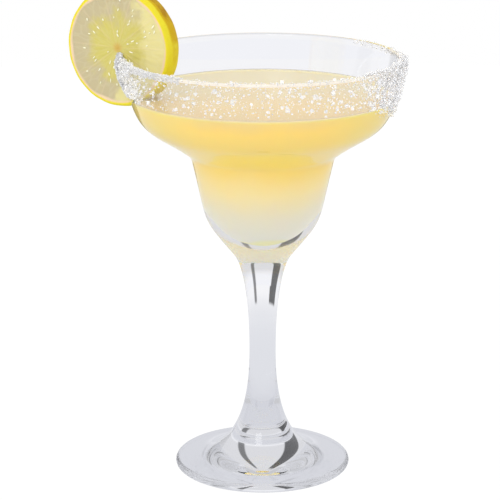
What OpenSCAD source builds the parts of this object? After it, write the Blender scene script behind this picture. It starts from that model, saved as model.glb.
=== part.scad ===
// Margarita in a stemmed saucer glass, with a salted lip and a lemon wheel.
// Millimetres, +Z up. The origin is the centre of the foot, on the table.

/* [Foot] */
// Radius of the foot
foot_r = 36.1; // [30:0.1:44]
// Thickness of the foot's rounded edge
foot_edge = 3.4; // [2.4:0.1:4.4]
// Inner radius of the flat ring that meets the table
foot_ring_r = 27; // [20:0.5:31]
// Depth of the hollow under the foot
foot_hollow = 1.2; // [0.6:0.1:1.8]

/* [Stem] */
// Height of the stem's waist above the table
waist_z = 49.3; // [36:0.1:60]
// Radius of the stem at its waist
waist_r = 5.4; // [4.4:0.1:6.6]
// Height of the bulb's base above the table
stem_h = 91; // [75:0.5:110]

/* [Bulb] */
// Height of the bulb, from its base to the shoulder
bulb_h = 38.5; // [32:0.1:46.5]
// Outer radius of the bulb at its base
bulb_base_r = 12.1; // [10:0.1:14.6]
// Outer radius of the bulb at the shoulder
shoulder_r = 28.6; // [23.8:0.1:34.4]
// Rise of the cavity's floor above the bulb's base
floor_rise = 10; // [6:0.1:12]

/* [Saucer] */
// Radius of the saucer's start above the shoulder
saucer_in_r = 31.7; // [30.5:0.1:36]
// Height of the bend between the shoulder and the saucer
bend_h = 4.4; // [3.6:0.1:5.4]
// Height of the saucer, from the bend to the lip
saucer_h = 38.1; // [31:0.1:46]
// Outer radius of the glass at the lip
rim_r = 56.8; // [47:0.1:68.5]
// Thickness of the bowl's wall and of its lip
wall = 2.2; // [1.8:0.1:2.8]

/* [Drink] */
// Depth of the drink's surface below the lip
drink_drop = 15.4; // [10:0.1:24]

/* [Salt] */
// Thickness of the salt crust
salt_t = 1.6; // [1.2:0.1:2]
// How far the crust reaches down the wall at the front
salt_drop = 11.5; // [8:0.5:14]
// How far it reaches down at the deepest place
salt_deep = 19; // [12:0.5:23]
// Azimuth where the crust ends
salt_to = 408; // [350:1:420]
// Azimuth of the crust's deepest place
salt_deep_at = 348; // [300:1:360]

/* [Lemon wheel] */
// Radius of the lemon wheel
wheel_r = 24.2; // [20:0.1:29]
// Thickness of the lemon wheel
wheel_t = 8.5; // [7:0.1:10.2]
// Turn of the wheel away from a square seat on the lip
wheel_twist = 29; // [0:1:32]
// Distance from the wheel's centre down to the slit's end
slit_end = 2.4; // [2:0.1:6]
// Number of flesh segments
segments = 10; // [8:1:12]
// Depth of the flesh below the pith and the membranes
flesh_depth = 0.35; // [0.2:0.05:0.5]

/* [Clearances] */
// Gap between the slit and the glass on each side
slit_gap = 0.3; // [0.2:0.05:0.5]
// Gap between the crust and the glass
crust_gap = 0.12; // [0.1:0.01:0.2]
// Gap between the drink and the lemon wheel
drink_gap = 0.1; // [0.05:0.01:0.2]
// Gap along the lip between the lemon wheel and the crust's start
wheel_gap = 1; // [0.5:0.1:6]

/* [Hidden] */
$fn = 96;

// Directions of the outer wall, in degrees from level
bulb_base_a = 50.5;
shoulder_a = 76.5;
saucer_a = 36;
lip_a = 79.4;
// Direction in which the hollow under the foot meets the flat ring
hollow_a = -8;

// Heights along the glass
shoulder_z = stem_h + bulb_h;
saucer_z = shoulder_z + bend_h;
glass_h = saucer_z + saucer_h;
floor_z = stem_h + floor_rise;
drink_z = glass_h - drink_drop;

// Key points of the outer wall, as [radius, height]
foot_top = [foot_r - foot_edge / 2, foot_edge];
waist = [waist_r, waist_z];
bulb_base = [bulb_base_r, stem_h];
shoulder = [shoulder_r, shoulder_z];
saucer = [saucer_in_r, saucer_z];
lip_c = [rim_r - wall / 2, glass_h - wall / 2];
lip = ahead(lip_c, lip_a - 90, wall / 2);

// Key points of the cavity
cavity_floor = [0, floor_z];
shoulder_in = ahead(shoulder, shoulder_a + 90, wall);
saucer_in = ahead(saucer, saucer_a + 90, wall);
lip_in = ahead(lip_c, lip_a + 90, wall / 2);

// Fullness of the curves, as shares of the chord
foot_full = [0.39, 0.53];
stem_full = [0.45, 0.18];
bulb_full = [0.52, 0.64];
bend_full = [0.4, 0.4];
saucer_full = [0.47, 0.69];
cavity_full = [0.26, 0.3];
hollow_full = [0.3, 0.3];
rind_full = [0.2, 0.62];

// Place of the lemon wheel: its slit's end rests on the salt on the lip
slit_over = salt_t + slit_gap;
wheel_at = [-lip_c[0], 0, glass_h + slit_over + slit_end];
// How far the rind's middle stands out past its edges, and how far the edges round over the face
rind_bulge = 0.5;
rind_round = 0.9;
// Width of the pith, of a membrane and of the core, and the membranes' uneven spread
pith_w = 2.1;
membrane_w = 0.7;
core_r = 1.5;
spread = rands(-0.12, 0.12, segments, 5);

// The crust starts clear of the wheel, which reaches furthest along the lip at the crust's inside
crust_in_r = rim_r - wall - salt_t;
wheel_reach = wheel_t / 2 / cos(wheel_twist) + (lip_c[0] - crust_in_r) * tan(wheel_twist);
salt_from = 180 + asin((wheel_reach + wheel_gap) / crust_in_r);

// Stations along the crust and their uneven numbers
crust_step = 3;
stations = floor((salt_to - salt_from) / crust_step);
lumps = rands(0.72, 1.3, stations + 1, 41);
dips = rands(-1.6, 1.6, stations + 1, 7);
// The last degrees over which the crust fades, and what is left of its reach and thickness
fade_over = 26;
fade_left = 0.3;
fade_left_t = 0.45;
// Degrees from the crust's deepest place to its usual reach
deep_half = 40;
// Rows of points up the wall and over the lip, and the direction of the last
crust_rows = 5;
crust_lip_rows = 4;
crust_lip_end = 150;
// Share of the crust's thickness at its two edges, and how soon it swells, in rows
crust_edge = 0.25;
edge_rows = 0.6;
// Length of the saucer's curve for a unit of t, near the lip, where it slows a little
lip_slow = 0.94;
lip_speed = 3 * saucer_full[1] * norm(lip - saucer) * lip_slow;

// The point that lies a given distance from p in direction a
function ahead(p, a, d) = p + d * [cos(a), sin(a)];

// The point at t, from 0 to 1, of the curve that leaves p0 at angle a0 and reaches p1 at angle a1
function on_curve(p0, a0, p1, a1, full, t) =
    let (c = norm(p1 - p0), u = 1 - t)
    let (q0 = ahead(p0, a0, full[0] * c), q1 = ahead(p1, a1, -full[1] * c))
    u * u * u * p0 + 3 * u * u * t * q0 + 3 * u * t * t * q1 + t * t * t * p1;

// That curve as n steps, without its first point
function curve(p0, a0, p1, a1, full, n) =
    [for (i = [1:n]) on_curve(p0, a0, p1, a1, full, i / n)];

// An arc about c as n steps
function arc(c, r, a0, a1, n) = [for (i = [0:n]) ahead(c, a0 + (a1 - a0) * i / n, r)];

// A list from its end to its start
function reversed(pts) = [for (i = [len(pts) - 1:-1:0]) pts[i]];

// The outer wall from the foot's edge to the lip
function outer_wall() = concat(
    arc([foot_r - foot_edge / 2, foot_edge / 2], foot_edge / 2, -90, 90, 8),
    curve(foot_top, 180, waist, 90, foot_full, 20),
    curve(waist, 90, bulb_base, bulb_base_a, stem_full, 14),
    curve(bulb_base, bulb_base_a, shoulder, shoulder_a, bulb_full, 16),
    curve(shoulder, shoulder_a, saucer, saucer_a, bend_full, 6),
    curve(saucer, saucer_a, lip, lip_a, saucer_full, 18));

// The cavity's wall from its floor to the lip
function inner_wall() = concat(
    [cavity_floor],
    curve(cavity_floor, 0, shoulder_in, shoulder_a, cavity_full, 20),
    curve(shoulder_in, shoulder_a, saucer_in, saucer_a, bend_full, 6),
    curve(saucer_in, saucer_a, lip_in, lip_a, saucer_full, 18));

// The hollow under the foot, from the middle to the flat ring
function under_foot() = concat(
    [[0, foot_hollow]],
    curve([0, foot_hollow], 0, [foot_ring_r, 0], hollow_a, hollow_full, 8));

// The lip's round top, without its two ends
function lip_top() =
    let (pts = arc(lip_c, wall / 2, lip_a - 90, lip_a + 90, 8))
    [for (i = [1:7]) pts[i]];

module glass() {
    color("lightcyan", 0.4)
    rotate_extrude()
    polygon(concat(under_foot(), outer_wall(), lip_top(), reversed(inner_wall())));
}

// The space inside the glass, up to the drink's surface
module bowl_space() {
    intersection() {
        rotate_extrude()
        polygon(concat(inner_wall(), [[0, lip_in[1]]]));
        cylinder(r = rim_r, h = drink_z);
    }
}

module drink() {
    color("khaki")
    difference() {
        bowl_space();
        seat_wheel() cylinder(r = wheel_r + drink_gap, h = wheel_t + 2 * drink_gap, center = true);
    }
}

// The crust's lower reach at azimuth a: deepest at one side, and fading away at its end
function reach(a, dip) =
    let (deep = max(0, 1 - abs(a - salt_deep_at) / deep_half))
    let (left = min(1, (salt_to - a) / fade_over * (1 - fade_left) + fade_left))
    (salt_drop + (salt_deep - salt_drop) * deep * deep * (3 - 2 * deep) + dip) * left;

// The crust's thickness at azimuth a, thinner where it fades away
function crust_t(a, lump) =
    salt_t * lump * min(1, fade_left_t + (1 - fade_left_t) * (salt_to - a) / fade_over);

// A point of the saucer's outer wall, a share t of the way up its curve
function saucer_at(t) = on_curve(saucer, saucer_a, lip, lip_a, saucer_full, t);

// The crust's foundation on the glass, as rows of [radius, height, outward direction]
function footing(deep) = concat(
    [for (i = [0:crust_rows - 1])
        let (t = 1 - deep / lip_speed * (1 - i / crust_rows))
        let (d = saucer_at(t + 0.01) - saucer_at(t - 0.01))
        concat(saucer_at(t), [atan2(d[1], d[0]) - 90])],
    [for (i = [0:crust_lip_rows])
        let (a = lip_a - 90 + (crust_lip_end - lip_a + 90) * i / crust_lip_rows)
        concat(ahead(lip_c, a, wall / 2), [a])]);

// One ring of the crust: up along the glass and back over the salt
function crust_ring(a, lump, dip) =
    let (rows = footing(reach(a, dip)), n = len(rows) - 1)
    let (near = [for (p = rows) ahead([p[0], p[1]], p[2], crust_gap)])
    let (far = [for (i = [0:n])
        let (swell = sin(180 * (i + edge_rows) / (n + 2 * edge_rows)))
        ahead(near[i], rows[i][2], crust_t(a, lump) * (crust_edge + (1 - crust_edge) * swell))])
    [for (p = concat(near, reversed(far))) [p[0] * cos(a), p[0] * sin(a), p[1]]];

module salt_rim() {
    rings = [for (i = [0:stations])
        crust_ring(salt_from + i * crust_step, lumps[i], dips[i])];
    n = len(rings[0]);
    sides = [for (i = [0:stations - 1], j = [0:n - 1])
        let (k = (j + 1) % n)
        [i * n + j, (i + 1) * n + j, (i + 1) * n + k, i * n + k]];
    caps = [
        [for (j = [0:n - 1]) j],
        [for (j = [n - 1:-1:0]) stations * n + j]
    ];
    color("white")
    polyhedron([for (r = rings) each r], concat(sides, caps));
}

// The wheel's full disc: a blank whose side is turned to the bulging rind
module wheel_disc() {
    half = wheel_t / 2;
    widest = [wheel_r, 0];
    blank_r = wheel_r + 1;
    face_r = wheel_r - rind_bulge - rind_round;
    difference() {
        cylinder(r = blank_r, h = 2 * half, center = true);
        rotate_extrude()
        polygon(concat(
            [[face_r, -half - 1], [face_r, -half]],
            curve([face_r, -half], 0, widest, 90, rind_full, 8),
            curve(widest, 90, [face_r, half], 180, reversed(rind_full), 8),
            [[face_r, half + 1], [blank_r + 1, half + 1], [blank_r + 1, -half - 1]]));
    }
}

// Stands a wheel upright on the lip and turns it
module seat_wheel() {
    translate(wheel_at) rotate([90, 0, -wheel_twist]) children();
}

// The direction of the membrane that starts segment i, the membranes being unevenly spread
function membrane_a(i) = (i % segments + spread[i % segments]) * 360 / segments
    + 360 * floor(i / segments);

// The hollows of the flesh on one face, as a cutter that stands on level 0: a disc less the
// membranes and the core
module flesh_hollows() {
    out_r = wheel_r - rind_bulge - pith_w;
    difference() {
        cylinder(r = out_r, h = wheel_t);
        cylinder(r = core_r, h = 3 * wheel_t, center = true);
        for (i = [0:segments - 1])
            rotate(membrane_a(i))
            translate([0, -membrane_w / 2, -wheel_t])
            cube([wheel_r, membrane_w, 3 * wheel_t]);
    }
}

// The whole slice of lemon, flat about the origin
module slice() {
    deep = wheel_t / 2 - flesh_depth;
    difference() {
        wheel_disc();
        translate([0, 0, deep]) flesh_hollows();
        mirror([0, 0, 1]) translate([0, 0, deep]) flesh_hollows();
    }
}

module lemon_wheel() {
    color("gold")
    difference() {
        seat_wheel() slice();
        wall_slit();
    }
}

// The slit that takes the glass's wall, as a band that follows the wall
module wall_slit() {
    outer = concat([saucer], curve(saucer, saucer_a, lip, lip_a, saucer_full, 18));
    inner = concat([saucer_in], curve(saucer_in, saucer_a, lip_in, lip_a, saucer_full, 18));
    rotate_extrude()
    polygon(concat(
        [for (p = outer) p + [slit_gap, -slit_gap]],
        [[lip[0] + slit_gap, glass_h + slit_over], [lip_in[0] - slit_gap, glass_h + slit_over]],
        reversed([for (p = inner) p + [-slit_gap, slit_gap]])));
}

glass();
drink();
salt_rim();
lemon_wheel();
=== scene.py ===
"""Looks of a margarita: a stemmed saucer glass, its cloudy drink, a salted lip and a lemon wheel.

Lengths are metres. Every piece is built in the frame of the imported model, whose boxes give the
heights and radii that the pieces hang on.
"""

import logging
import math
from dataclasses import dataclass
from enum import Enum

import bpy
import numpy as np
from mathutils import Matrix, Vector, noise


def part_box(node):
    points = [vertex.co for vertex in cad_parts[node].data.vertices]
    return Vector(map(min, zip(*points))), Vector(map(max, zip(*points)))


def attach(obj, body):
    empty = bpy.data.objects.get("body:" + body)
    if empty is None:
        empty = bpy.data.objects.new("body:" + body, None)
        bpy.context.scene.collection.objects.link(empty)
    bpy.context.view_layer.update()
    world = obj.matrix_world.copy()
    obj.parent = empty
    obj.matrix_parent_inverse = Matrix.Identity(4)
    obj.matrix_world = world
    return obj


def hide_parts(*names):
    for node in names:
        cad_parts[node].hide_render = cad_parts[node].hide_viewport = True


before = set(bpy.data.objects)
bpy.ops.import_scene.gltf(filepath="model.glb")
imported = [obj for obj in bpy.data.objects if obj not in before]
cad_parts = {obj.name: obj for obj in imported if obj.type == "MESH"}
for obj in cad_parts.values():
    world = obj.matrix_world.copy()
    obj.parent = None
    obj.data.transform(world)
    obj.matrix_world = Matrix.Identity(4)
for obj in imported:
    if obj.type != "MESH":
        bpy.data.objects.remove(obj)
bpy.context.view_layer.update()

MM = 0.001
Point = tuple[float, float]
Colour = tuple[float, float, float]
Socket = bpy.types.NodeSocket
Value = Socket | float
Tone = Socket | Colour
WHITE: Colour = (1.0, 1.0, 1.0)
log = logging.getLogger("margarita")


# ---------------------------------------------------------------- outlines and meshes


def ahead(start: Point, degrees: float, distance: float) -> Point:
    """Returns the point that lies a distance from start in a direction."""
    angle = math.radians(degrees)
    return start[0] + distance * math.cos(angle), start[1] + distance * math.sin(angle)


def bend(start: Point, leaving: float, end: Point, arriving: float, full: Point, steps: int) -> list[Point]:
    """A smooth curve between two points, without its first point.

    Args:
        start: the first point, as (radius, height).
        leaving: the direction at start, in degrees.
        end: the last point.
        arriving: the direction at end, in degrees.
        full: how far each handle reaches, as shares of the chord.
        steps: how many points are returned.

    Returns:
        The points after start, up to end.
    """
    chord = math.dist(start, end)
    handle_0 = np.array(ahead(start, leaving, full[0] * chord))
    handle_1 = np.array(ahead(end, arriving, -full[1] * chord))
    t = np.linspace(0, 1, steps + 1)[1:, None]
    u = 1 - t
    points = (
        u**3 * np.array(start)
        + 3 * u * u * t * handle_0
        + 3 * u * t * t * handle_1
        + t**3 * np.array(end)
    )
    return [tuple(p) for p in points]


def polar(corners: np.ndarray) -> tuple[np.ndarray, np.ndarray]:
    """Returns each corner's distance from the Z axis and its azimuth in radians."""
    return np.hypot(corners[:, 0], corners[:, 1]), np.arctan2(corners[:, 1], corners[:, 0])


def arc(centre: Point, radius: float, first: float, last: float, steps: int) -> list[Point]:
    """Returns the points of an arc from one direction to another, both ends included."""
    return [ahead(centre, first + (last - first) * i / steps, radius) for i in range(steps + 1)]


def revolve(outline: list[Point], turns: int) -> tuple[np.ndarray, list[tuple[int, ...]]]:
    """Turns an outline that starts and ends on the axis about Z.

    Args:
        outline: points as (radius, height), from axis to axis.
        turns: how many stations go round.

    Returns:
        The corners, as an array, and the faces, as tuples of corner numbers.
    """
    angles = np.linspace(0, 2 * math.pi, turns, endpoint=False)
    body = np.array(outline[1:-1])
    rings = np.stack(
        [
            np.outer(body[:, 0], np.cos(angles)),
            np.outer(body[:, 0], np.sin(angles)),
            np.repeat(body[:, 1:], turns, axis=1),
        ],
        axis=-1,
    ).reshape(-1, 3)
    poles = np.array([[0, 0, outline[0][1]], [0, 0, outline[-1][1]]])
    first_pole, last_pole = len(rings), len(rings) + 1
    last_ring = (len(body) - 1) * turns
    faces: list[tuple[int, ...]] = []
    for j in range(turns):
        k = (j + 1) % turns
        faces.append((first_pole, k, j))
        faces.extend(
            (i + j, i + k, i + turns + k, i + turns + j) for i in range(0, last_ring, turns)
        )
        faces.append((last_pole, last_ring + j, last_ring + k))
    return np.vstack([rings, poles]), faces


def make_piece(
    name: str,
    corners: np.ndarray,
    faces: list[tuple[int, ...]],
    materials: list[bpy.types.Material],
    smooth: bool = True,
) -> bpy.types.Object:
    """Makes a mesh object, dresses it and puts it in the scene.

    Args:
        name: the piece's name.
        corners: an array of points in metres.
        faces: tuples of corner numbers.
        materials: the piece's materials, in slot order.
        smooth: whether the shading is smooth.

    Returns:
        The object.
    """
    mesh = bpy.data.meshes.new(name)
    mesh.from_pydata(corners.tolist(), [], faces)
    if smooth:
        mesh.shade_smooth()
    for material in materials:
        mesh.materials.append(material)
    piece = bpy.data.objects.new(name, mesh)
    bpy.context.scene.collection.objects.link(piece)
    return piece


# ---------------------------------------------------------------- finishes


class NodeTree:
    """A node tree of a material or of the world, with one call for each node."""

    def __init__(self, owner: bpy.types.ID) -> None:
        """Empties the owner's tree and adds its output.

        Args:
            owner: the material or world.
        """
        owner.use_nodes = True
        self.tree = owner.node_tree
        self.tree.nodes.clear()
        kind = "World" if isinstance(owner, bpy.types.World) else "Material"
        self.output = self.tree.nodes.new("ShaderNodeOutput" + kind)

    def add(self, kind: str, inputs: dict | None = None, **settings: object) -> bpy.types.Node:
        """Adds a node.

        Args:
            kind: the node's type, without the word ShaderNode.
            inputs: values or sockets for its inputs, by name or number.
            **settings: attributes of the node itself.

        Returns:
            The node.
        """
        node = self.tree.nodes.new("ShaderNode" + kind)
        for key, value in settings.items():
            setattr(node, key, value)
        for key, value in (inputs or {}).items():
            if isinstance(value, Socket):
                self.tree.links.new(value, node.inputs[key])
            elif isinstance(value, tuple) and node.inputs[key].type == "RGBA":
                node.inputs[key].default_value = (*value, 1.0)
            else:
                node.inputs[key].default_value = value
        return node

    def math(self, operation: str, *values: Value) -> Socket:
        """Returns the result of a Math node on values or sockets."""
        return self.add("Math", dict(enumerate(values)), operation=operation).outputs[0]

    def blend(self, share: Value, first: Tone, second: Tone) -> Socket:
        """Returns the mix of two colours, the second one in the given share."""
        node = self.add("Mix", {0: share, 6: first, 7: second}, data_type="RGBA")
        return node.outputs[2]

    def span(
        self, value: Socket, low: float, high: float, to_low: float = 0.0, to_high: float = 1.0
    ) -> Socket:
        """Returns a value mapped smoothly from one span to another."""
        inputs = {0: value, 1: low, 2: high, 3: to_low, 4: to_high}
        return self.add("MapRange", inputs, interpolation_type="SMOOTHSTEP").outputs[0]

    def noise(self, where: Socket, scale: float, detail: float) -> Socket:
        """Returns a noise's value at a place, with a scale in ripples per metre."""
        return self.add("TexNoise", {"Vector": where, "Scale": scale, "Detail": detail}).outputs[0]

    def cloud(self, where: Socket, scale: float, detail: float, swing: float) -> Socket:
        """Returns a noise that goes from -swing to swing."""
        return self.math("MULTIPLY_ADD", self.noise(where, scale, detail), 2 * swing, -swing)

    def ramp(self, value: Socket, stops: list[tuple[float, Colour]]) -> Socket:
        """Looks a colour up.

        Args:
            value: where to look, from 0 to 1.
            stops: the ramp's places and colours, in order.

        Returns:
            The colour.
        """
        node = self.add("ValToRGB", {0: value})
        elements = node.color_ramp.elements
        elements[0].position, elements[0].color = stops[0][0], (*stops[0][1], 1)
        elements[1].position, elements[1].color = stops[-1][0], (*stops[-1][1], 1)
        for place, colour in stops[1:-1]:
            elements.new(place).color = (*colour, 1)
        return node.outputs[0]

    def place(self) -> Socket:
        """Returns the place on the piece, in its own metres."""
        return self.add("TexCoord").outputs["Object"]

    def bump(self, height: Socket, strength: float, distance: float) -> Socket:
        """Returns a normal for a height in the given distance."""
        inputs = {"Height": height, "Strength": strength, "Distance": distance}
        return self.add("Bump", inputs).outputs[0]

    def finish(self, shader: bpy.types.Node) -> None:
        """Links a shader to the output."""
        self.tree.links.new(shader.outputs[0], self.output.inputs["Surface"])


def let_lamps_through(tree: NodeTree, solid: bpy.types.Node, passed: Colour) -> bpy.types.Node:
    """Lets the light of lamps and of lit surfaces pass straight through a clear solid.

    Args:
        tree: the material's tree.
        solid: the shader that the eye sees.
        passed: the share of the light that passes a surface.

    Returns:
        The mixed shader.
    """
    path = tree.add("LightPath").outputs
    clear = tree.add("BsdfTransparent", {"Color": passed}).outputs[0]
    lit = tree.add("MixShader", {0: path["Is Diffuse Ray"], 1: solid.outputs[0], 2: clear})
    return tree.add("MixShader", {0: path["Is Shadow Ray"], 1: lit.outputs[0], 2: clear})


@dataclass(frozen=True)
class ClearGlass:
    """Polished soda-lime glass with a faint cool tint."""

    tint: Colour = (0.965, 0.968, 0.98)
    passed: Colour = (0.985, 0.985, 0.99)
    ior: float = 1.5
    waves_per_metre: float = 45.0
    wave_depth: float = 0.3 * MM

    def material(self) -> bpy.types.Material:
        """Makes the material, with slow waves of pressed glass in its surface.

        Returns:
            The material.
        """
        material = bpy.data.materials.new("clear_glass")
        tree = NodeTree(material)
        waves = tree.noise(tree.place(), self.waves_per_metre, 1.0)
        solid = tree.add(
            "BsdfPrincipled",
            {
                "Base Color": self.tint,
                "Roughness": 0.0,
                "IOR": self.ior,
                "Transmission Weight": 1.0,
                "Normal": tree.bump(waves, 0.2, self.wave_depth),
            },
        )
        tree.finish(let_lamps_through(tree, solid, self.passed))
        return material


@dataclass(frozen=True)
class DustedLip:
    """The top of the lip, where juice and fine salt dull the glass."""

    colour: Colour = (0.88, 0.86, 0.84)
    clear: float = 0.35
    ior: float = 1.5

    def material(self) -> bpy.types.Material:
        """Makes the material.

        Returns:
            The material.
        """
        material = bpy.data.materials.new("dusted_lip")
        tree = NodeTree(material)
        inputs = {
            "Base Color": self.colour,
            "Roughness": 0.3,
            "IOR": self.ior,
            "Transmission Weight": self.clear,
        }
        tree.finish(tree.add("BsdfPrincipled", inputs))
        return material


class DrinkPart(Enum):
    """The two skins of the drink."""

    WALL = "drink_at_wall"
    SURFACE = "drink_surface"


@dataclass(frozen=True)
class CloudyDrink:
    """A cloudy citrus drink, pale and grey towards the bottom and golden above.

    The colours run from the cavity's floor, at height low, to the surface, at height high. In the
    saucer the drink is greyed at its two sides by painted reflection, for the slanted glass wall
    they are seen through. The free surface is paler and greyer, partly its own colour and partly
    painted reflection of the room.
    """

    low: float
    high: float
    floor: Colour = (0.80, 0.77, 0.42)
    bottom: Colour = (0.76, 0.74, 0.62)
    lower: Colour = (0.80, 0.74, 0.54)
    middle: Colour = (0.90, 0.74, 0.36)
    upper: Colour = (0.93, 0.68, 0.18)
    top: Colour = (0.82, 0.63, 0.24)
    belt: Colour = (0.99, 0.70, 0.13)
    # painted reflection: the tone of the saucer's greyed sides
    side_reflection_tone: Colour = (0.85, 0.68, 0.21)
    # partly painted reflection: the pale tones of the free surface, deeper towards the front
    skin: Colour = (0.71, 0.62, 0.39)
    skin_deep: Colour = (0.77, 0.57, 0.26)
    side_reflection_from: float = 18 * MM
    side_reflection_at: float = 46 * MM
    swirl: float = 5 * MM
    skin_half: float = 30 * MM
    skin_cloud: float = 15 * MM

    def stops(self) -> list[tuple[float, Colour]]:
        """Returns the colours from the floor, at 0, to the surface, at 1."""
        return [
            (0.0, self.floor), (0.025, self.floor), (0.04, self.bottom), (0.16, self.lower),
            (0.36, self.middle), (0.56, self.upper), (0.65, self.belt), (0.72, self.belt),
            (0.82, self.upper), (0.92, self.upper), (1.0, self.top),
        ]

    def material(self, part: DrinkPart) -> bpy.types.Material:
        """Makes the material of one skin.

        Args:
            part: the skin against the glass, which mirrors nothing, or the free surface.

        Returns:
            The material.
        """
        free = part is DrinkPart.SURFACE
        material = bpy.data.materials.new(part.value)
        tree = NodeTree(material)
        place = tree.place()
        axes = tree.add("SeparateXYZ", {0: place}).outputs
        height = tree.math("ADD", axes["Z"], tree.cloud(place, 38.0, 2.0, self.swirl))
        level = tree.add("MapRange", {0: height, 1: self.low, 2: self.high}).outputs[0]
        # painted reflection: in the saucer the drink is greyed towards its two sides, for the slanted glass
        # wall that they are seen through
        sides = tree.span(tree.math("ABSOLUTE", axes["X"]), self.side_reflection_from, self.side_reflection_at)
        in_saucer = tree.span(level, 0.5, 0.62)
        side_reflection = tree.math("MULTIPLY", sides, in_saucer)
        colour = tree.blend(side_reflection, tree.ramp(level, self.stops()), self.side_reflection_tone)
        # painted reflection: the free surface is paler and greyer, partly its own colour and partly the
        # room mirrored in it, and deeper towards the front
        if free:
            cloud = tree.cloud(place, 60.0, 2.0, self.skin_cloud)
            near = tree.span(tree.math("ADD", axes["Y"], cloud), self.skin_half, -self.skin_half)
            colour = tree.blend(near, self.skin, self.skin_deep)
        shader = tree.add(
            "BsdfPrincipled",
            {
                "Base Color": colour,
                "Roughness": 0.12 if free else 0.5,
                "IOR": 1.34,
                "Specular IOR Level": 0.3 if free else 0.0,
                "Subsurface Weight": 0.6,
                "Subsurface Radius": (1.0, 0.8, 0.45),
                "Subsurface Scale": 4 * MM,
            },
        )
        tree.finish(shader)
        return material


class GrainSize(Enum):
    """The sizes of salt on the lip."""

    COARSE = "coarse"
    FINE = "fine"
    POWDER = "powder"


@dataclass(frozen=True)
class SaltFinish:
    """Clear to milky salt crystals with bright broken faces."""

    size: GrainSize
    colour: Colour = (0.985, 0.98, 0.985)
    shade: Colour = (0.94, 0.94, 0.96)
    coarse_alpha: float = 0.54
    fine_alpha: float = 0.82

    def material(self) -> bpy.types.Material:
        """Makes the material; fine salt is milkier than coarse.

        Returns:
            The material.
        """
        material = bpy.data.materials.new("salt_" + self.size.value)
        tree = NodeTree(material)
        cloud = tree.noise(tree.place(), 900.0, 2.0)
        coarse = self.size is GrainSize.COARSE
        shader = tree.add(
            "BsdfPrincipled",
            {
                "Base Color": tree.blend(cloud, self.colour, self.shade),
                "Roughness": 0.2,
                "IOR": 1.54,
                "Alpha": self.coarse_alpha if coarse else self.fine_alpha,
                "Subsurface Weight": 0.6,
                "Subsurface Radius": (1.0, 0.97, 0.95),
                "Subsurface Scale": 0.7 * MM,
            },
        )
        tree.finish(shader)
        return material


@dataclass(frozen=True)
class RindFinish:
    """Waxy lemon rind, bright yellow with oil pores and brown mottles, with painted shade towards its top
    and back.

    The radius is the wheel's, and half is half of its thickness.
    """

    radius: float
    half: float
    bright: Colour = (0.72, 0.63, 0.03)
    # painted shade: deep and brown are the shaded tones, and brown is also the colour of the mottles
    deep: Colour = (0.55, 0.36, 0.001)
    brown: Colour = (0.36, 0.18, 0.001)
    blotch: float = 0.6
    pores_per_metre: float = 950.0
    pore_depth: float = 0.22 * MM

    def material(self) -> bpy.types.Material:
        """Makes the material.

        Returns:
            The material.
        """
        material = bpy.data.materials.new("lemon_rind")
        tree = NodeTree(material)
        place = tree.place()
        axes = tree.add("SeparateXYZ", {0: place}).outputs
        # painted shade: rise and inward make the rind deeper and browner towards the top and away from the
        # front face; the blotch is its own mottling
        blotch = tree.cloud(place, 120.0, 3.0, self.blotch)
        rise = tree.span(axes["Y"], -0.75 * self.radius, 0.9 * self.radius, -0.25, 1.0)
        inward = tree.span(axes["Z"], 0.95 * self.half, 0.1 * self.half)
        shade_and_mottle = tree.math("MULTIPLY", tree.math("ADD", rise, blotch), inward)
        golden = tree.blend(tree.span(shade_and_mottle, 0.15, 0.6), self.bright, self.deep)
        colour = tree.blend(tree.span(shade_and_mottle, 0.75, 1.1), golden, self.brown)
        cells = {"Vector": place, "Scale": self.pores_per_metre}
        pores = tree.add("TexVoronoi", cells, feature="SMOOTH_F1").outputs[0]
        pits = tree.span(pores, 0.05, 0.45)
        shader = tree.add(
            "BsdfPrincipled",
            {
                "Base Color": colour,
                "Roughness": 0.45,
                "Specular IOR Level": 0.1,
                "Subsurface Weight": 0.2,
                "Subsurface Radius": (1.0, 0.7, 0.1),
                "Subsurface Scale": 1.5 * MM,
                "Normal": tree.bump(pits, 0.5, self.pore_depth),
            },
        )
        tree.finish(shader)
        return material


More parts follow.
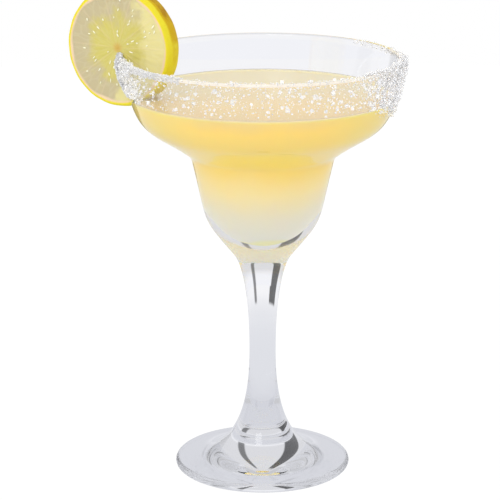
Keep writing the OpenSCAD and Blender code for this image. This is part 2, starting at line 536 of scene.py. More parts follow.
@dataclass(frozen=True)
class FleshFinish:
    """Moist lemon flesh with a pale pith ring and faint membranes, from marks on the mesh.

    The marks are a colour at each corner: red for a cell's edge, green for pith or membrane, and
    blue for coloured rind.
    """

    radius: float
    grey: Colour = (0.55, 0.475, 0.285)
    gold: Colour = (0.62, 0.55, 0.145)
    cream: Colour = (0.75, 0.68, 0.31)
    vein: Colour = (0.74, 0.70, 0.45)
    core: Colour = (0.62, 0.36, 0.06)
    pith: Colour = (0.80, 0.62, 0.42)
    edge: Colour = (0.78, 0.67, 0.01)
    blotch: float = 0.75
    cell_share: float = 0.18
    core_share: float = 0.75
    grain_depth: float = 0.15 * MM

    def material(self) -> bpy.types.Material:
        """Makes the material.

        Returns:
            The material.
        """
        material = bpy.data.materials.new("lemon_flesh")
        tree = NodeTree(material)
        place = tree.place()
        axes = tree.add("SeparateXYZ", {0: place}).outputs
        flat = tree.add("CombineXYZ", {"X": axes["X"], "Y": axes["Y"]}).outputs[0]
        away = tree.add("VectorMath", {0: flat}, operation="LENGTH").outputs["Value"]
        marks = tree.add("Attribute", attribute_name="marks").outputs["Color"]
        zones = tree.add("SeparateColor", {0: marks}).outputs
        cloud = tree.cloud(place, 170.0, 3.0, self.blotch)
        slant = tree.math("SUBTRACT", axes["X"], tree.math("MULTIPLY", axes["Y"], 0.25))
        outer = tree.math("ADD", tree.span(away, 0.25 * self.radius, 0.85 * self.radius), cloud)
        side = tree.math("ADD", tree.span(slant, -0.2 * self.radius, 0.7 * self.radius), cloud)
        rim = tree.blend(tree.span(side, 0.2, 0.8), self.grey, self.cream)
        flesh = tree.blend(tree.span(outer, 0.15, 0.8), self.gold, rim)
        celled = tree.blend(tree.math("MULTIPLY", zones["Red"], self.cell_share), flesh, self.vein)
        near_core = tree.span(away, 0.12 * self.radius, 0.01 * self.radius)
        middle = tree.math("MULTIPLY", near_core, self.core_share)
        cored = tree.blend(middle, celled, self.core)
        veined = tree.blend(zones["Green"], cored, self.pith)
        colour = tree.blend(zones["Blue"], veined, self.edge)
        grain = tree.noise(place, 1400.0, 2.0)
        shader = tree.add(
            "BsdfPrincipled",
            {
                "Base Color": colour,
                "Roughness": 0.25,
                "IOR": 1.38,
                "Subsurface Weight": 0.5,
                "Subsurface Radius": (1.0, 0.9, 0.5),
                "Subsurface Scale": 2.5 * MM,
                "Normal": tree.bump(grain, 0.3, self.grain_depth),
            },
        )
        tree.finish(shader)
        return material


@dataclass(frozen=True)
class JuiceGlintFinish:
    """Beads of lemon juice on the cut face, coloured pale and bright as a painted highlight for their
    glints.
    """

    # painted highlight: pale bright colours for the glints that clear juice would show
    colour: Colour = (0.96, 0.94, 0.6)
    bright: Colour = (0.99, 0.98, 0.85)

    def material(self) -> bpy.types.Material:
        """Makes the material.

        Returns:
            The material.
        """
        material = bpy.data.materials.new("lemon_juice_glints")
        tree = NodeTree(material)
        cloud = tree.noise(tree.place(), 500.0, 1.0)
        colour = tree.blend(cloud, self.colour, self.bright)
        inputs = {"Base Color": colour, "Roughness": 0.2, "IOR": 1.34}
        tree.finish(tree.add("BsdfPrincipled", inputs))
        return material


# ---------------------------------------------------------------- the glass and the drink


@dataclass
class GlassShape:
    """The outline of the glass, hung on its height and the radius of its lip.

    A name that ends in _a is the outline's direction there, in degrees, and one that ends in
    _full says how far the handles of a curve reach, as shares of its chord.
    """

    height: float
    rim_r: float
    foot_r: float = 36.1 * MM
    foot_edge: float = 3.4 * MM
    foot_ring_r: float = 27 * MM
    foot_hollow: float = 1.2 * MM
    waist: Point = (5.4 * MM, 49.3 * MM)
    bulb_base: Point = (12.1 * MM, 91 * MM)
    shoulder: Point = (28.6 * MM, 129.5 * MM)
    saucer: Point = (31.7 * MM, 133.9 * MM)
    floor_z: float = 101 * MM
    wall: float = 2.2 * MM
    bulb_base_a: float = 50.5
    shoulder_a: float = 76.5
    saucer_a: float = 36.0
    lip_a: float = 79.4
    foot_full: Point = (0.39, 0.53)
    stem_full: Point = (0.45, 0.18)
    bulb_full: Point = (0.52, 0.64)
    cavity_full: Point = (0.26, 0.3)
    shoulder_full: Point = (0.4, 0.4)
    saucer_full: Point = (0.47, 0.69)

    @property
    def lip_centre(self) -> Point:
        """The middle of the lip's round top."""
        return self.rim_r - self.wall / 2, self.height - self.wall / 2

    def saucer_wall(self, steps: int) -> list[Point]:
        """Returns the saucer's outer wall from its start to the lip."""
        lip = ahead(self.lip_centre, self.lip_a - 90, self.wall / 2)
        return [self.saucer] + bend(self.saucer, self.saucer_a, lip, self.lip_a, self.saucer_full, steps)

    def outer(self) -> list[Point]:
        """Draws the outside.

        Returns:
            The outline from the middle of the foot's underside to the lip.
        """
        edge_c = (self.foot_r - self.foot_edge / 2, self.foot_edge / 2)
        foot_top = (edge_c[0], self.foot_edge)
        middle = (0.0, self.foot_hollow)
        return [
            middle,
            *bend(middle, 0, (self.foot_ring_r, 0.0), -8, (0.3, 0.3), 14),
            *arc(edge_c, self.foot_edge / 2, -90, 90, 14),
            *bend(foot_top, 180, self.waist, 90, self.foot_full, 50),
            *bend(self.waist, 90, self.bulb_base, self.bulb_base_a, self.stem_full, 36),
            *bend(self.bulb_base, self.bulb_base_a, self.shoulder, self.shoulder_a, self.bulb_full, 36),
            *bend(self.shoulder, self.shoulder_a, self.saucer, self.saucer_a, self.shoulder_full, 12),
            *self.saucer_wall(40)[1:],
        ]

    def cavity(self, grow: float = 0.0) -> list[Point]:
        """Draws the cavity's wall.

        Args:
            grow: how far the wall is pushed into the glass.

        Returns:
            The points from the cavity's floor to the lip.
        """
        wall = self.wall - grow
        floor = (0.0, self.floor_z - grow)
        shoulder = ahead(self.shoulder, self.shoulder_a + 90, wall)
        saucer = ahead(self.saucer, self.saucer_a + 90, wall)
        lip = ahead(self.lip_centre, self.lip_a + 90, self.wall / 2 - grow)
        return [
            floor,
            *bend(floor, 0, shoulder, self.shoulder_a, self.cavity_full, 44),
            *bend(shoulder, self.shoulder_a, saucer, self.saucer_a, self.shoulder_full, 12),
            *bend(saucer, self.saucer_a, lip, self.lip_a, self.saucer_full, 40),
        ]

    def outline(self) -> list[Point]:
        """Returns the whole outline, from axis to axis."""
        top = arc(self.lip_centre, self.wall / 2, self.lip_a - 90, self.lip_a + 90, 14)[1:-1]
        return self.outer() + top + self.cavity()[::-1]


@dataclass
class Glass:
    """The stemmed glass, turned in one piece, its lip dulled between two azimuths in degrees."""

    shape: GlassShape
    salt_start: float = 186.0
    salt_end: float = 20.0
    turns: int = 288

    def build(self) -> bpy.types.Object:
        """Makes and dresses the piece.

        Returns:
            The finished piece.
        """
        corners, faces = revolve(self.shape.outline(), self.turns)
        materials = [ClearGlass().material(), DustedLip().material()]
        piece = make_piece("glass_body", corners, faces, materials)
        lip_z = self.shape.lip_centre[1]
        for face in piece.data.polygons:
            azimuth = math.degrees(math.atan2(face.center.y, face.center.x)) % 360
            salted = azimuth < self.salt_end or azimuth > self.salt_start
            face.material_index = int(salted and face.center.z > lip_z)
        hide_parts("glass")
        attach(piece, "root")
        return piece


@dataclass
class Drink:
    """The drink, reaching a little into the glass's wall, with a meniscus along it."""

    shape: GlassShape
    level: float
    sunk: float = 0.25 * MM
    creep: float = 0.9 * MM
    creep_w: float = 2.2 * MM
    facing_up: float = 0.3
    turns: int = 192

    def build(self) -> bpy.types.Object:
        """Makes and dresses the piece.

        Returns:
            The finished piece.
        """
        wall = [p for p in self.shape.cavity(self.sunk) if p[1] < self.level + self.creep]
        edge = wall[-1]
        inside = (edge[0] - self.creep_w, self.level)
        surface = [*bend(edge, -100, inside, 180, (0.3, 0.5), 8), (0.0, self.level)]
        corners, faces = revolve(wall + surface, self.turns)
        finish = CloudyDrink(self.shape.floor_z, self.level)
        skins = [finish.material(DrinkPart.WALL), finish.material(DrinkPart.SURFACE)]
        piece = make_piece("drink_body", corners, faces, skins)
        for face in piece.data.polygons:
            on_top = face.center.z > self.level - MM
            face.material_index = int(face.normal.z > self.facing_up and on_top)
        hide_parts("drink")
        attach(piece, "root")
        return piece


# ---------------------------------------------------------------- the salt


@dataclass
class SaltBand:
    """Where salt lies on the lip, by azimuth in degrees and depth along the wall."""

    shape: GlassShape
    start: float = 188.0
    end: float = 408.0
    front_reach: float = 12.0 * MM
    deep_reach: float = 19.5 * MM
    deep_at: float = 348.0
    deep_half: float = 40.0
    fade_at: float = 368.0
    fade: float = 12.0
    lip_only: float = 0.1
    right_at: float = 346.0
    right_half: float = 23.0
    left_at: float = 190.0
    left_half: float = 14.0
    left_share: float = 0.6
    back_share: float = 0.4
    ragged: Point = (0.8, 1.12)
    lip_turn: Point = (-20, 150)

    def reach(self, azimuth: np.ndarray) -> np.ndarray:
        """Finds how far down the wall the salt goes.

        Args:
            azimuth: the azimuths, in degrees.

        Returns:
            The depth at each azimuth.
        """
        near = np.clip(1 - np.abs(azimuth - self.deep_at) / self.deep_half, 0, 1)
        deep = near * near * (3 - 2 * near)
        left = np.clip((self.fade_at - azimuth) / self.fade, self.lip_only, 1)
        return (self.front_reach + (self.deep_reach - self.front_reach) * deep) * left

    def density(self, azimuth: np.ndarray, front: float) -> np.ndarray:
        """Finds how closely the salt lies.

        Args:
            azimuth: the azimuths, in degrees.
            front: how closely it lies in front, between the two heaps.

        Returns:
            The closeness at each azimuth, from 0 to 1.
        """
        right = np.exp(-(((azimuth - self.right_at) / self.right_half) ** 2))
        left = self.left_share * np.exp(-(((azimuth - self.left_at) / self.left_half) ** 2))
        behind = np.where(azimuth > self.fade_at, self.back_share, 1)
        return np.clip(front + right + left, 0, 1) * behind

    def seats(
        self, count: int, seed: int, front: float, lip_share: float, spread: float
    ) -> tuple[np.ndarray, np.ndarray]:
        """Picks places for grains.

        Args:
            count: how many grains, were the band closely covered all along.
            seed: the number that the picks follow from.
            front: how closely they lie in front, from 0 to 1.
            lip_share: the share of the grains that lie on the lip's top.
            spread: how far the others run down, where 1 is evenly.

        Returns:
            The places on the glass, and the outward directions there, as arrays.
        """
        rng = np.random.default_rng(seed)
        tries = rng.uniform(self.start, self.end, count)
        azimuth = tries[rng.random(count) < self.density(tries, front)]
        n = len(azimuth)
        wall = np.array(self.shape.saucer_wall(200))[::-1]
        steps = np.hypot(*np.diff(wall, axis=0).T)
        run = np.concatenate([[0], np.cumsum(steps)])
        depth = self.reach(azimuth) * rng.random(n) ** spread * rng.uniform(*self.ragged, n)
        radius = np.interp(depth, run, wall[:, 0])
        height = np.interp(depth, run, wall[:, 1])
        slope = np.gradient(wall[:, 1], run), np.gradient(wall[:, 0], run)
        out = np.stack([-np.interp(depth, run, slope[0]), np.interp(depth, run, slope[1])], axis=1)
        on_lip = rng.random(n) < lip_share
        turn = np.radians(rng.uniform(*self.lip_turn, n))
        centre, half = self.shape.lip_centre, self.shape.wall / 2
        radius = np.where(on_lip, centre[0] + half * np.cos(turn), radius)
        height = np.where(on_lip, centre[1] + half * np.sin(turn), height)
        out = np.where(on_lip[:, None], np.stack([np.cos(turn), np.sin(turn)], axis=1), out)
        a = np.radians(azimuth)
        places = np.stack([radius * np.cos(a), radius * np.sin(a), height], axis=1)
        outward = np.stack([out[:, 0] * np.cos(a), out[:, 0] * np.sin(a), out[:, 1]], axis=1)
        return places, outward


@dataclass
class SaltGrains:
    """One size of salt grains, as broken cubes joined into one mesh.

    The grains are smallest to largest wide, and few are large. They sit partly in the wet lip and
    lie up to pile above it, spread as SaltBand.seats says.
    """

    band: SaltBand
    size: GrainSize
    count: int
    smallest: float
    largest: float
    front: float
    lip_share: float
    spread: float
    pile: float
    seed: int
    few_large: float = 2.2
    seated: float = 0.34

    def build(self) -> bpy.types.Object:
        """Makes and dresses the piece.

        Returns:
            The finished piece.
        """
        places, outward = self.band.seats(self.count, self.seed, self.front, self.lip_share, self.spread)
        rng = np.random.default_rng(self.seed + 1)
        width = self.smallest + (self.largest - self.smallest) * rng.random(len(places)) ** self.few_large
        lift = width * self.seated + self.pile * rng.random(len(places)) ** 2
        centres = places + outward * lift[:, None]
        return salt_piece("salt_" + self.size.value, centres, width, SaltFinish(self.size), rng)


GRAIN_SIDES: Point = (0.62, 1.1)  # a grain's three sides, as shares of its width
GRAIN_CHIP = 0.1  # how far its corners are broken, as a share of its width


def salt_piece(
    name: str, centres: np.ndarray, width: np.ndarray, finish: SaltFinish, rng: np.random.Generator
) -> bpy.types.Object:
    """Makes a piece of broken salt cubes.

    Args:
        name: the piece's name.
        centres: where the grains lie.
        width: how wide each is.
        finish: the salt's finish.
        rng: the random numbers that shape and turn the grains.

    Returns:
        The finished piece.
    """
    n = len(centres)
    cube = np.array([[x, y, z] for x in (-1, 1) for y in (-1, 1) for z in (-1, 1)]) / 2.0
    widths = rng.uniform(*GRAIN_SIDES, (n, 1, 3))
    chips = rng.uniform(-GRAIN_CHIP, GRAIN_CHIP, (n, 8, 3))
    shapes = cube[None] * widths + chips
    quats = rng.normal(size=(n, 4))
    w, x, y, z = (quats / np.linalg.norm(quats, axis=1, keepdims=True)).T
    turn = np.stack(
        [
            1 - 2 * (y * y + z * z), 2 * (x * y - z * w), 2 * (x * z + y * w),
            2 * (x * y + z * w), 1 - 2 * (x * x + z * z), 2 * (y * z - x * w),
            2 * (x * z - y * w), 2 * (y * z + x * w), 1 - 2 * (x * x + y * y),
        ],
        axis=1,
    ).reshape(n, 3, 3)
    corners = np.einsum("nij,nkj->nki", turn, shapes) * width[:, None, None] + centres[:, None]
    sides = [(0, 1, 3, 2), (4, 6, 7, 5), (0, 4, 5, 1), (2, 3, 7, 6), (0, 2, 6, 4), (1, 5, 7, 3)]
    faces = [tuple(8 * i + c for c in side) for i in range(n) for side in sides]
    piece = make_piece(name, corners.reshape(-1, 3), faces, [finish.material()], smooth=False)
    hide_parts("salt_rim")
    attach(piece, "root")
    return piece


@dataclass
class SaltClump:
    """The salt that the wheel pushed together in front of its slit.

    It goes from rise above the lip down by drop, lies proud of the wheel's face, and spreads
    inward and outward from the glass's wall.
    """

    wheel: "LemonWheel"
    count: int = 1500
    smallest: float = 0.25 * MM
    largest: float = 1.0 * MM
    drop: float = 17.0 * MM
    rise: float = 2.2 * MM
    proud: float = 0.55 * MM
    inward: float = 1.5 * MM
    outward: float = 0.9 * MM
    seed: int = 31

    def build(self) -> bpy.types.Object:
        """Makes and dresses the piece.

        Returns:
            The finished piece.
        """
        rng = np.random.default_rng(self.seed)
        n, wheel, shape = self.count, self.wheel, self.wheel.shape
        down = rng.random(n) ** 1.1
        height = shape.height + self.rise - self.drop * down
        wall = np.array(shape.saucer_wall(100))
        radius = np.interp(height, wall[:, 1], wall[:, 0])
        t = math.radians(wheel.twist)
        across = np.array([math.cos(t), -math.sin(t)])
        front = np.array([-math.sin(t), -math.cos(t)])
        proud = wheel.thickness / 2 + np.abs(rng.normal(0, self.proud, n))
        foot = np.array(wheel.centre[:2]) + front * proud[:, None]
        along = -(foot @ across) - np.sqrt(np.maximum(radius**2 - (foot @ front) ** 2, 0))
        # the heap is four times as thick near its middle as at its ends
        swell = 0.5 + 1.5 * np.sin(math.pi * np.clip(down * 1.1, 0, 1)) ** 0.7
        along += rng.uniform(-self.inward, self.outward, n) * swell
        centres = np.column_stack([foot + across * along[:, None], height])
        width = self.smallest + (self.largest - self.smallest) * rng.random(n) ** 2
        return salt_piece("salt_clump", centres, width, SaltFinish(GrainSize.FINE), rng)


# ---------------------------------------------------------------- the lemon wheel


@dataclass
class LemonWheel:
    """A slice across a lemon, slit to its middle and pushed onto the lip.

    It is meshed lying flat, round its own Z axis, and then stood on the lip.
    """

    shape: GlassShape
    centre: Vector
    radius: float = 24.2 * MM
    thickness: float = 8.5 * MM
    twist: float = 29.0
    rind_bulge: float = 0.5 * MM
    rind_round: float = 0.9 * MM
    rind_w: float = 1.5 * MM
    pith_w: float = 0.8 * MM
    segments: int = 10
    slit_gap: float = 0.3 * MM
    slit_over: float = 1.9 * MM
    slit_from: float = 150.0
    slit_to: float = 210.0
    uneven: float = 0.13
    cell_long: float = 6.5 * MM
    cells_round: float = 6.6
    cell_half: float = 0.7
    cell_seam: float = 0.16
    flesh_sunk: float = 0.3 * MM
    cell_raised: float = 0.22 * MM
    membrane_half: float = 0.28 * MM
    membrane_shown: float = 0.2
    membranes_from: float = 6 * MM
    pith_wave: Point = (0.25 * MM, 0.2 * MM)
    pith_blur: float = 0.5 * MM
    rind_blur: float = 0.4 * MM
    relief_from: float = 8 * MM
    rings: int = 62
    turns: int = 480
    seed: int = 5

    @property
    def face_r(self) -> float:
        """The radius of the flat faces, inside the rounded rind."""
        return self.radius - self.rind_bulge - self.rind_round

    def outline(self) -> list[Point]:
        """Draws half of the wheel's section.

        Returns:
            The points from the back's middle round to the front's.
        """
        half = self.thickness / 2
        across = [self.face_r * i / self.rings for i in range(self.rings + 1)]
        back = [(r, -half) for r in across]
        side = bend((self.face_r, -half), 0, (self.radius, 0.0), 90, (0.2, 0.62), 10)
        side += bend((self.radius, 0.0), 90, (self.face_r, half), 180, (0.62, 0.2), 10)
        front = [(r, half) for r in across[::-1]][1:]
        return back + side + front

    def membranes(self) -> np.ndarray:
        """Spreads the membranes unevenly.

        Returns:
            Their directions, in radians.
        """
        rng = np.random.default_rng(self.seed)
        shift = rng.uniform(-self.uneven, self.uneven, self.segments)
        return (np.arange(self.segments) + shift) * 2 * math.pi / self.segments

    def cells(self, corners: np.ndarray) -> tuple[np.ndarray, np.ndarray]:
        """Finds the juice cells, which are long towards the middle and apart in each segment.

        Args:
            corners: the wheel's corners, before they are moved.

        Returns:
            How near each corner is to its cell's middle and to the cell's edge, from 0 to 1.
        """
        turn = 2 * math.pi
        r, a = polar(corners)
        a = a % turn
        starts = np.sort(self.membranes() % turn)
        segment = np.searchsorted(starts, a, side="right") - 1
        since = (a - starts[segment]) % turn
        middle, edge = np.empty(len(r)), np.empty(len(r))
        for i in range(len(r)):
            k = segment[i] + self.segments * (corners[i, 2] > 0)
            turned, along = since[i] * self.cells_round, r[i] / self.cell_long
            # each segment of each face takes its cells from a different part of the pattern
            place = Vector((turned + k * 17.3, along + k * 5.1, k * 3.7))
            near = noise.voronoi(place)[0]
            middle[i] = max(0.0, 1 - near[0] / self.cell_half)
            edge[i] = max(0.0, 1 - (near[1] - near[0]) / self.cell_seam)
        return middle, edge

    def marks(self, corners: np.ndarray, edge: np.ndarray) -> np.ndarray:
        """Marks the wheel's zones.

        Args:
            corners: the wheel's corners, before they are moved.
            edge: how near each is to the edge of its juice cell.

        Returns:
            For each corner the shares of cell edge, of pith or membrane, and of coloured rind.
        """
        r, a = polar(corners)
        off = (a[:, None] - self.membranes()[None] + math.pi) % (2 * math.pi) - math.pi
        off = np.clip(off, -1.5, 1.5)  # a membrane runs from the middle to one side only
        reach = r[:, None] * np.abs(np.sin(off))
        line = np.exp(-((reach.min(axis=1) / self.membrane_half) ** 2))
        flesh_r = self.radius - self.rind_w - self.pith_w - self.rind_bulge
        wobble = self.pith_wave[0] * np.sin(5 * a + 1) + self.pith_wave[1] * np.sin(11 * a)
        pith = np.clip((r - flesh_r - wobble) / self.pith_blur, 0, 1)
        rind = np.clip((r - flesh_r - self.pith_w) / self.rind_blur, 0, 1)
        shown = self.membrane_shown * line * np.clip(r / self.membranes_from, 0, 1)
        veins = np.maximum(shown, pith)
        return np.stack([edge * (1 - pith), veins, rind, np.ones_like(r)], axis=1)

    def relief(self, corners: np.ndarray, marks: np.ndarray, middle: np.ndarray) -> np.ndarray:
        """Moves the corners of the faces to the flesh's relief, and the rind to an uneven round.

        Args:
            corners: the wheel's corners.
            marks: their zones.
            middle: how near each is to the middle of its juice cell.

        Returns:
            The moved corners.
        """
        moved = corners.copy()
        r, a = polar(corners)
        on_face = np.abs(corners[:, 2]) > self.thickness / 2 - 1e-6
        outward = np.clip(r / self.relief_from, 0.2, 1)
        flesh = np.clip(1 - 1.6 * marks[:, 1], 0, 1) * on_face * outward
        sink = flesh * (self.flesh_sunk - self.cell_raised * middle)
        moved[:, 2] -= np.sign(corners[:, 2]) * sink
        # a lemon is a little out of round, and its rind ripples
        wide = 1 + 0.005 * np.sin(2 * a + 0.6) + 0.004 * np.sin(3 * a + 2)
        wide += 0.0025 * np.sin(17 * a) * (r / self.radius) ** 8
        moved[:, :2] *= wide[:, None] * 0.995
        return moved

    def slit_cutter(self) -> bpy.types.Object:
        """Makes the band round the lip that the slit takes.

        Returns:
            An object for a Boolean.
        """
        outer = self.shape.saucer_wall(24)
        inner = [p for p in self.shape.cavity() if p[1] > self.shape.saucer[1] + 2 * MM]
        top = self.shape.height + self.slit_over
        ring = [(x + self.slit_gap, z - self.slit_gap) for x, z in outer]
        ring += [(outer[-1][0] + self.slit_gap, top), (inner[-1][0] - self.slit_gap, top)]
        ring += [(x - self.slit_gap, z + self.slit_gap) for x, z in inner[::-1]]
        n, stations = len(ring), 41
        angles = np.radians(np.linspace(self.slit_from, self.slit_to, stations))
        corners = np.array([[x * math.cos(t), x * math.sin(t), z] for t in angles for x, z in ring])
        faces = [
            (i * n + j, i * n + (j + 1) % n, (i + 1) * n + (j + 1) % n, (i + 1) * n + j)
            for i in range(stations - 1)
            for j in range(n)
        ]
        faces += [tuple(range(n))[::-1], tuple((stations - 1) * n + j for j in range(n))]
        return make_piece("slit_cutter", corners, faces, [], smooth=False)

    def build(self) -> bpy.types.Object:
        """Makes and dresses the piece.

        Returns:
            The finished piece.
        """
        corners, faces = revolve(self.outline(), self.turns)
        middle, edge = self.cells(corners)
        marks = self.marks(corners, edge)
        corners = self.relief(corners, marks, middle)
        half = self.thickness / 2
        materials = [FleshFinish(self.radius).material(), RindFinish(self.radius, half).material()]
        piece = make_piece("lemon_slice", corners, faces, materials)
        layer = piece.data.color_attributes.new("marks", "FLOAT_COLOR", "POINT")
        layer.data.foreach_set("color", marks.ravel())
        rind_from = self.face_r * 1.004  # past the faces' wavy edge
        for face in piece.data.polygons:
            face.material_index = int(face.center.xy.length > rind_from)
        piece.matrix_world = self.placing()
        self.cut(piece)
        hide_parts("lemon_wheel")
        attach(piece, "root")
        return piece

    def placing(self) -> Matrix:
        """Finds how the wheel stands on the lip.

        Returns:
            The move there, which takes the front face from local +Z.
        """
        t = math.radians(self.twist)
        across, up = Vector((math.cos(t), -math.sin(t), 0)), Vector((0, 0, 1))
        turn = Matrix((across, up, across.cross(up))).transposed().to_4x4()
        return Matrix.Translation(self.centre) @ turn

    def cut(self, piece: bpy.types.Object) -> None:
        """Cuts the slit.

        Args:
            piece: the placed wheel.
        """
        cutter = self.slit_cutter()
        modifier = piece.modifiers.new("slit", "BOOLEAN")
        modifier.operation, modifier.object, modifier.solver = "DIFFERENCE", cutter, "EXACT"
        bpy.context.view_layer.update()
        graph = bpy.context.evaluated_depsgraph_get()
        mesh = bpy.data.meshes.new_from_object(piece.evaluated_get(graph))
        piece.modifiers.clear()
        piece.data = mesh
        bpy.data.objects.remove(cutter)


@dataclass
class JuiceBeads:
    """Small long beads of juice that stand on both cut faces of the wheel.

    The halves of their length, width and height are in millimetres.
    """

    wheel: LemonWheel
    count: int = 90
    half_long: Point = (0.4, 1.0)
    half_wide: Point = (0.22, 0.34)
    half_high: float = 0.24
    clear_of_rind: float = 5 * MM
    sunk: float = 0.12 * MM
    slant: float = 0.35
    rings: int = 5
    turns: int = 10
    seed: int = 17

    def bead(self) -> tuple[np.ndarray, list[tuple[int, ...]]]:
        """Makes a round bead.

        Returns:
            Its corners, at a distance of 1 from its middle, and its faces.
        """
        rings, turns = self.rings, self.turns
        ball = [
            (math.sin(p) * math.cos(q), math.sin(p) * math.sin(q), math.cos(p))
            for p in np.linspace(0.3, math.pi - 0.3, rings)
            for q in np.linspace(0, 2 * math.pi, turns, endpoint=False)
        ]
        beside = [(j + 1) % turns for j in range(turns)]
        faces: list[tuple[int, ...]] = [
            (i + j, i + turns + j, i + turns + beside[j], i + beside[j])
            for i in range(0, (rings - 1) * turns, turns)
            for j in range(turns)
        ]
        top, low = rings * turns, (rings - 1) * turns
        faces += [(top, j, beside[j]) for j in range(turns)]
        faces += [(top + 1, low + beside[j], low + j) for j in range(turns)]
        return np.array(ball + [(0, 0, 1), (0, 0, -1)]), faces

    def build(self) -> bpy.types.Object:
        """Makes and dresses the piece.

        Returns:
            The finished piece.
        """
        rng = np.random.default_rng(self.seed)
        wheel, half = self.wheel, self.wheel.thickness / 2
        ball, ball_faces = self.bead()
        corners, faces = [], []
        for i in range(self.count):
            r = (wheel.radius - self.clear_of_rind) * math.sqrt(rng.uniform(0.03, 1))
            a = rng.uniform(0, 2 * math.pi)
            lie = a + rng.normal(0, self.slant)
            long, wide = rng.uniform(*self.half_long), rng.uniform(*self.half_wide)
            size = np.array([long, wide, self.half_high]) * MM
            side = 1 if i % 2 else -1
            bead = ball * size
            x = bead[:, 0] * math.cos(lie) - bead[:, 1] * math.sin(lie) + r * math.cos(a)
            y = bead[:, 0] * math.sin(lie) + bead[:, 1] * math.cos(lie) + r * math.sin(a)
            z = bead[:, 2] + side * (half - self.sunk)
            first = i * len(ball)
            faces.extend(tuple(first + c for c in face) for face in ball_faces)
            corners.append(np.column_stack([x, y, z]))
        turn = np.array(wheel.placing())
        places = np.vstack(corners) @ turn[:3, :3].T + turn[:3, 3]
        piece = make_piece("lemon_juice_beads", places, faces, [JuiceGlintFinish().material()])
        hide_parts("lemon_wheel")
        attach(piece, "root")
        return piece


# ---------------------------------------------------------------- the studio


@dataclass(frozen=True)
class Flag:
    """An upright dark stripe, by the azimuth of its middle and half its width in degrees."""

    middle: float
    half: float
    dark: float


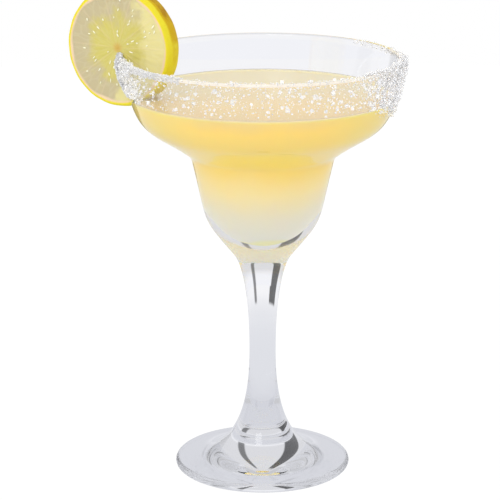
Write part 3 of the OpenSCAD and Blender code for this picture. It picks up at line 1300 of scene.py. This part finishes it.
@dataclass
class Studio:
    """A white table top, a bright room with a few dark flags, and a soft lamp."""

    floor_r: float = 0.9
    floor_drop: float = 0.2 * MM
    floor_glow: float = 0.88
    floor_matt: Colour = (0.12, 0.12, 0.12)
    tone_under: Colour = (0.68, 0.69, 0.74)
    tone_near: Colour = (0.76, 0.77, 0.81)
    tone_far: Colour = (0.965, 0.965, 0.98)
    room_tone: Colour = (0.96, 0.965, 1.0)
    room_front: float = 0.78
    room_back: float = 0.98
    room_above: float = 0.78
    dome: float = 1.16
    dome_right: float = -0.06
    dome_up: float = 0.12
    far_flags: tuple[Flag, ...] = (Flag(117, 10, 0.88), Flag(72.5, 2.2, 0.75))
    room_flags: tuple[Flag, ...] = (Flag(118.5, 9, 0.88), Flag(72.5, 2.2, 0.75))
    low_flags: tuple[Flag, ...] = (Flag(175, 12, 0.5), Flag(8, 12, 0.5))
    flag_blur: float = 2.0
    lens: float = 157.46
    sensor: float = 36.0
    eye: tuple[float, float, float] = (0, -0.8594, 0.3329)
    eye_down: float = 15.651
    eye_left: float = 0.346
    key_place: tuple[float, float, float] = (-0.22, -0.72, 0.75)
    key_size: float = 0.35
    key_watts: float = 1.0
    key_aim: float = 0.75
    bounces: int = 40
    gloss_bounces: int = 20
    clear_bounces: int = 32

    def floor(self) -> None:
        """Makes the table top.

        It is white to the eye. Through the glass it is a cool pale grey, with the flags' dark
        stripes on its far part, and it lights matt things evenly.
        """
        angles = np.linspace(0, 2 * math.pi, 128, endpoint=False)
        rim = np.stack([np.cos(angles), np.sin(angles)], axis=1) * self.floor_r
        corners = np.column_stack([rim, np.full(len(rim), -self.floor_drop)])
        material = bpy.data.materials.new("white_table")
        tree = NodeTree(material)
        lit = tree.add("Emission", {"Color": WHITE, "Strength": self.floor_glow})
        matt = tree.add("BsdfDiffuse", {"Color": self.floor_matt})
        white = tree.add("AddShader", {0: lit.outputs[0], 1: matt.outputs[0]})
        place = tree.place()
        axes = tree.add("SeparateXYZ", {0: place}).outputs
        away = tree.add("VectorMath", {0: place}, operation="LENGTH").outputs["Value"]
        near = tree.blend(tree.span(away, 0.02, 0.09), self.tone_under, self.tone_near)
        tone = tree.blend(tree.span(away, 0.12, 0.6), near, self.tone_far)
        path = tree.add("LightPath").outputs
        tone = tree.blend(path["Is Diffuse Ray"], tone, WHITE)
        shade = self.flags(tree, self.far_flags, axes["X"], axes["Y"], tree.span(away, 0.36, 0.42))
        shade = tree.math("MAXIMUM", shade, path["Is Diffuse Ray"])
        cool = tree.add("Emission", {"Color": tone, "Strength": shade})
        seen = path["Is Camera Ray"]
        tree.finish(tree.add("MixShader", {0: seen, 1: cool.outputs[0], 2: white.outputs[0]}))
        floor = make_piece("table_top", corners, [tuple(range(len(rim)))], [material])

    def flags(
        self, tree: NodeTree, stripes: tuple[Flag, ...], x: Socket, y: Socket, share: Value
    ) -> Value:
        """Darkens a few upright stripes of the surroundings, which give clear glass its edges.

        Args:
            tree: the tree that the nodes go to.
            stripes: the dark stripes.
            x: the socket of the place or direction along X.
            y: the socket of the place or direction along Y.
            share: how much of the darkening holds.

        Returns:
            The brightness that is left, from 0 to 1.
        """
        level: Value = 1.0
        azimuth = tree.math("ARCTAN2", y, x)
        for flag in stripes:
            off = tree.math("ABSOLUTE", tree.math("SUBTRACT", azimuth, math.radians(flag.middle)))
            inner, outer = math.radians(flag.half), math.radians(flag.half + self.flag_blur)
            stripe = tree.span(off, inner, outer, flag.dark, 0.0)
            left = tree.math("SUBTRACT", 1.0, tree.math("MULTIPLY", stripe, share))
            level = tree.math("MULTIPLY", level, left)
        return level

    def room(self) -> None:
        """Lights the world: an even dome for matt things, a room with dark flags for clear ones."""
        world = bpy.data.worlds.new("studio")
        world.cycles.sampling_method = "NONE"
        bpy.context.scene.world = world
        tree = NodeTree(world)
        way = tree.add("SeparateXYZ", {0: tree.add("TexCoord").outputs["Generated"]})
        x, y, z = way.outputs[0], way.outputs[1], way.outputs[2]
        room = tree.span(y, -0.6, 0.6, self.room_front, self.room_back)
        room = tree.math("MULTIPLY", room, tree.span(z, -0.02, 0.15, 1.0, self.room_above))
        for stripes, middle, inner, outer in (
            (self.room_flags, 0.3, 0.5, 0.6),
            (self.low_flags, 0.1, 0.25, 0.4),
        ):
            off = tree.math("ABSOLUTE", tree.math("SUBTRACT", z, middle))
            band = tree.span(off, inner, outer, 1.0, 0.0)
            room = tree.math("MULTIPLY", room, self.flags(tree, stripes, x, y, band))
        dome = tree.math("MULTIPLY_ADD", x, self.dome_right, self.dome)
        dome = tree.math("ADD", dome, tree.math("MULTIPLY", z, self.dome_up))
        path = tree.add("LightPath")
        diffuse, camera = path.outputs["Is Diffuse Ray"], path.outputs["Is Camera Ray"]
        level = tree.add("Mix", {0: diffuse, 2: room, 3: dome}, data_type="FLOAT").outputs[0]
        level = tree.add("Mix", {0: camera, 2: level, 3: 1.0}, data_type="FLOAT").outputs[0]
        plain = tree.math("MAXIMUM", diffuse, camera)
        colour = tree.blend(plain, self.room_tone, WHITE)
        tree.finish(tree.add("Background", {"Color": colour, "Strength": level}))

    def lamp(self, name: str, place: Vector, aim: Vector, size: float, watts: float) -> None:
        """Adds a square soft box, which isn't seen through the glass.

        Args:
            name: the lamp's name.
            place: where it hangs.
            aim: the point that it looks at.
            size: how wide it is.
            watts: its power.
        """
        data = bpy.data.lights.new(name, "AREA")
        data.size, data.energy = size, watts
        lamp = bpy.data.objects.new(name, data)
        lamp.location = place
        lamp.visible_transmission = False
        lamp.rotation_euler = (aim - place).to_track_quat("-Z", "Y").to_euler()
        bpy.context.scene.collection.objects.link(lamp)

    def camera(self) -> None:
        """Places the camera, a little above the lip and turned slightly left."""
        data = bpy.data.cameras.new("camera")
        data.sensor_width, data.lens = self.sensor, self.lens
        camera = bpy.data.objects.new("camera", data)
        camera.location = self.eye
        camera.rotation_euler = (math.radians(90 - self.eye_down), 0, math.radians(self.eye_left))
        bpy.context.scene.collection.objects.link(camera)
        bpy.context.scene.camera = camera

    def build(self, height: float) -> None:
        """Sets up the whole studio.

        Light may bend and mirror many times, because the foot and stem are dark without it.

        Args:
            height: the object's height.
        """
        paths = bpy.context.scene.cycles
        paths.max_bounces = paths.transmission_bounces = self.bounces
        paths.glossy_bounces = self.gloss_bounces
        paths.transparent_max_bounces = self.clear_bounces
        self.camera()
        self.floor()
        self.room()
        aim = Vector((0, 0, height * self.key_aim))
        self.lamp("key", Vector(self.key_place), aim, self.key_size, self.key_watts)
        bpy.context.scene.view_settings.view_transform = "Standard"


def main() -> None:
    """Builds the margarita and its studio, and reports each piece."""
    logging.basicConfig(level=logging.INFO, format="%(name)s: %(message)s")
    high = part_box("glass")[1]
    shape = GlassShape(height=high[2], rim_r=high[0])
    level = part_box("drink")[1][2]
    Studio().build(high[2])
    wheel_low, wheel_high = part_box("lemon_wheel")
    wheel_z = (wheel_low[2] + wheel_high[2]) / 2
    band, thick = SaltBand(shape), SaltBand(shape, start=190.0, end=236.0)
    wheel = LemonWheel(shape, Vector((-shape.lip_centre[0], 0, wheel_z)))
    makers = [
        Glass(shape),
        Drink(shape, level),
        SaltGrains(
            band, GrainSize.COARSE, count=4200, smallest=0.5 * MM, largest=1.5 * MM,
            front=0.08, lip_share=0.12, spread=0.9, pile=0.5 * MM, seed=11,
        ),
        SaltGrains(
            band, GrainSize.FINE, count=15000, smallest=0.18 * MM, largest=0.5 * MM,
            front=0.16, lip_share=0.4, spread=1.4, pile=0.6 * MM, seed=23,
        ),
        SaltGrains(
            thick, GrainSize.POWDER, count=1500, smallest=0.2 * MM, largest=0.6 * MM,
            front=1.0, lip_share=1.0, spread=1.0, pile=0.4 * MM, seed=41,
        ),
        SaltClump(wheel),
        wheel,
        JuiceBeads(wheel),
    ]
    for maker in makers:
        piece = maker.build()
        log.info("%s has %d faces", piece.name, len(piece.data.polygons))


if __name__ == "__main__":
    main()
